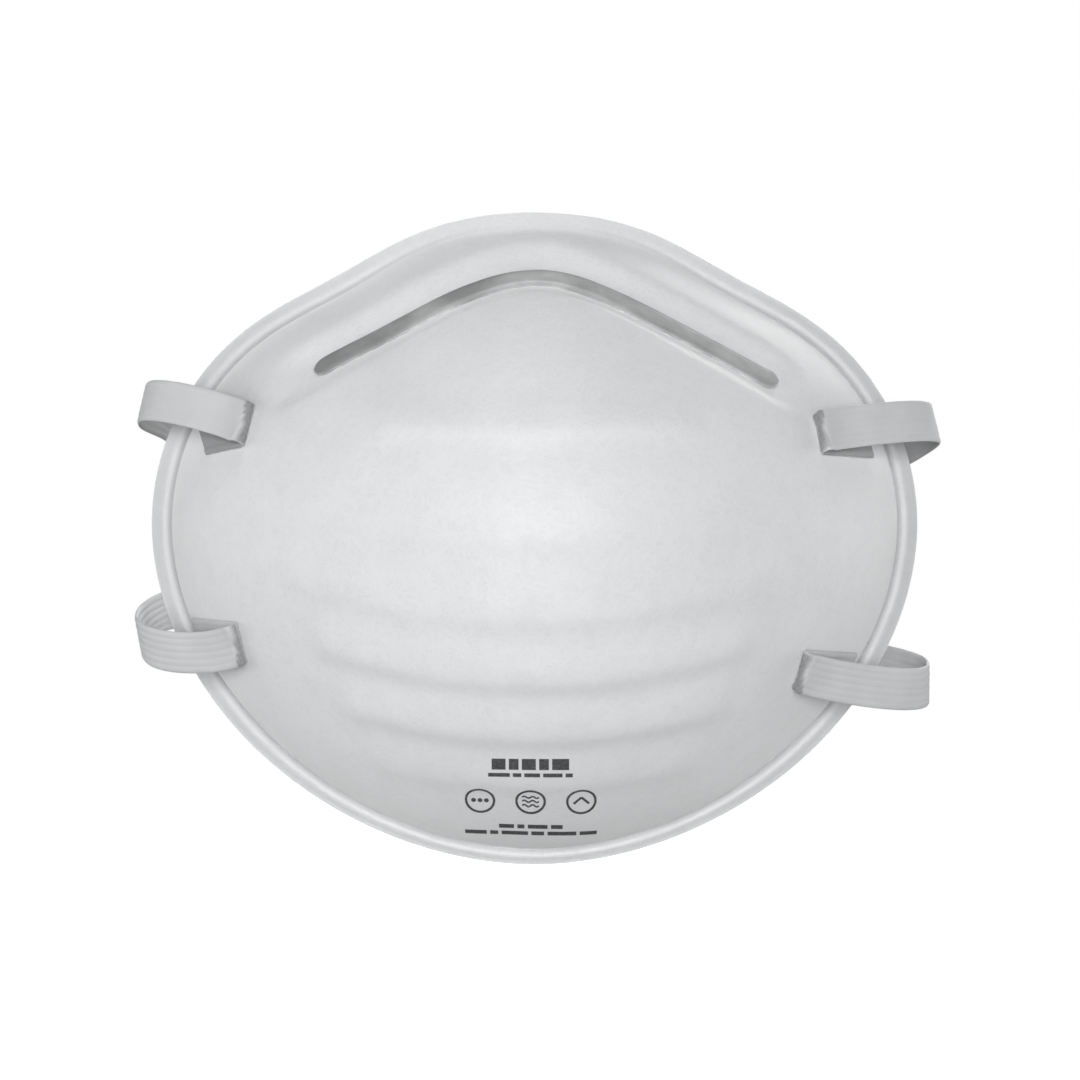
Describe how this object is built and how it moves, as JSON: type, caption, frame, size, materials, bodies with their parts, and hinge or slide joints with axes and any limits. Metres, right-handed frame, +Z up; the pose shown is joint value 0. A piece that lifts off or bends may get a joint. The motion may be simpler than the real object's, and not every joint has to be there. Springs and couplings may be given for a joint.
{
  "type": "disposable dust mask",
  "caption": "Cup-shaped disposable dust mask: moulded layered shell with a welded rim, metal nose clip, inner nose foam and flat elastic head straps that swing behind it.",
  "frame": {"origin": "centre of the rim that seals on the face, at the level of its nose and chin", "axes": "+Z up towards the nose, +Y towards the wearer's face, +X across the mask, so -Y is the outer face"},
  "size_m": [0.1468, 0.1258, 0.1176],
  "materials": {
    "cover_web": "white non-woven, smooth and matte",
    "filter_web": "melt-blown web, matte",
    "support_web": "moulded thermobonded fibre, stiff and matte",
    "lining_web": "soft brushed non-woven, matte",
    "clip_metal": "dull rolled strip",
    "adhesive": "hot melt, translucent",
    "foam": "open-cell foam, matte",
    "elastic": "ribbed flat elastic, slight sheen"
  },
  "bodies": {
    "mask": {"outer_cover": "cover_web", "filter_media": "filter_web", "support_shell": "support_web", "inner_lining": "lining_web", "nose_clip": "clip_metal", "clip_adhesive": "adhesive", "nose_foam": "foam", "foam_tape": "adhesive", "upper_strap_end_left": "elastic", "upper_strap_end_right": "elastic", "lower_strap_end_left": "elastic", "lower_strap_end_right": "elastic"},
    "crown_strap": {"upper_strap": "elastic"},
    "neck_strap": {"lower_strap": "elastic"}
  },
  "joints": [
    {"name": "upper_strap_swing", "type": "hinge", "parent": "mask", "child": "crown_strap", "pos_m": [0, 0.005, 0.0225], "axis": [0.9998, 0, -0.0208], "range_deg": [-12, 55], "stiffness_Nm_per_rad": 0.01, "springref_deg": 0.58},
    {"name": "lower_strap_swing", "type": "hinge", "parent": "mask", "child": "neck_strap", "pos_m": [0, 0.005, -0.0215], "axis": [0.9985, 0, -0.0555], "range_deg": [-55, 12], "stiffness_Nm_per_rad": 0.01, "springref_deg": 0.58}
  ]
}
